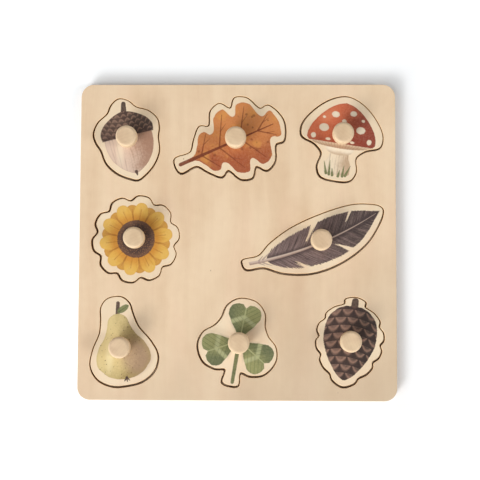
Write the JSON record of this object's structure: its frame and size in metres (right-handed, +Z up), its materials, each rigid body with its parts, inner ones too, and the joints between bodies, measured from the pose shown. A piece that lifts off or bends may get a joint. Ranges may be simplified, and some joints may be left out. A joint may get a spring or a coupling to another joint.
{
  "type": "wooden peg puzzle",
  "caption": "Square wooden board puzzle with rounded corners: flat printed nature-motif pieces lie flush in matching recesses and lift out by round turned knobs.",
  "frame": {"origin": "middle of the board's underside", "axes": "+Z up out of the board's face, +Y towards the far edge (the top of the picture), +X to the right"},
  "size_m": [0.2258, 0.2258, 0.024],
  "materials": {
    "frame_ply": "fine sanded bare plywood",
    "back_ply": "fine sanded bare plywood",
    "turned_wood": "turned and sanded solid wood",
    "acorn_print": "printed plywood, matt",
    "oak_leaf_print": "printed plywood, matt",
    "toadstool_print": "printed plywood, matt",
    "sunflower_print": "printed plywood, matt",
    "feather_print": "printed plywood, matt",
    "pear_print": "printed plywood, matt",
    "clover_print": "printed plywood, matt",
    "pine_cone_print": "printed plywood, matt"
  },
  "bodies": {
    "board": {"board_frame": "frame_ply", "board_back": "back_ply"},
    "acorn": {"acorn_piece": "acorn_print", "acorn_knob": "turned_wood"},
    "oak_leaf": {"oak_leaf_piece": "oak_leaf_print", "oak_leaf_knob": "turned_wood"},
    "toadstool": {"toadstool_piece": "toadstool_print", "toadstool_knob": "turned_wood"},
    "sunflower": {"sunflower_piece": "sunflower_print", "sunflower_knob": "turned_wood"},
    "feather": {"feather_piece": "feather_print", "feather_knob": "turned_wood"},
    "pear": {"pear_piece": "pear_print", "pear_knob": "turned_wood"},
    "clover": {"clover_piece": "clover_print", "clover_knob": "turned_wood"},
    "pine_cone": {"pine_cone_piece": "pine_cone_print", "pine_cone_knob": "turned_wood"}
  },
  "joints": [
    {"name": "acorn_lift", "type": "slide", "parent": "board", "child": "acorn", "axis": [0, 0, 1], "range_m": [0, 0.04]},
    {"name": "oak_leaf_lift", "type": "slide", "parent": "board", "child": "oak_leaf", "axis": [0, 0, 1], "range_m": [0, 0.04]},
    {"name": "toadstool_lift", "type": "slide", "parent": "board", "child": "toadstool", "axis": [0, 0, 1], "range_m": [0, 0.04]},
    {"name": "sunflower_lift", "type": "slide", "parent": "board", "child": "sunflower", "axis": [0, 0, 1], "range_m": [0, 0.04]},
    {"name": "feather_lift", "type": "slide", "parent": "board", "child": "feather", "axis": [0, 0, 1], "range_m": [0, 0.04]},
    {"name": "pear_lift", "type": "slide", "parent": "board", "child": "pear", "axis": [0, 0, 1], "range_m": [0, 0.04]},
    {"name": "clover_lift", "type": "slide", "parent": "board", "child": "clover", "axis": [0, 0, 1], "range_m": [0, 0.04]},
    {"name": "pine_cone_lift", "type": "slide", "parent": "board", "child": "pine_cone", "axis": [0, 0, 1], "range_m": [0, 0.04]}
  ]
}
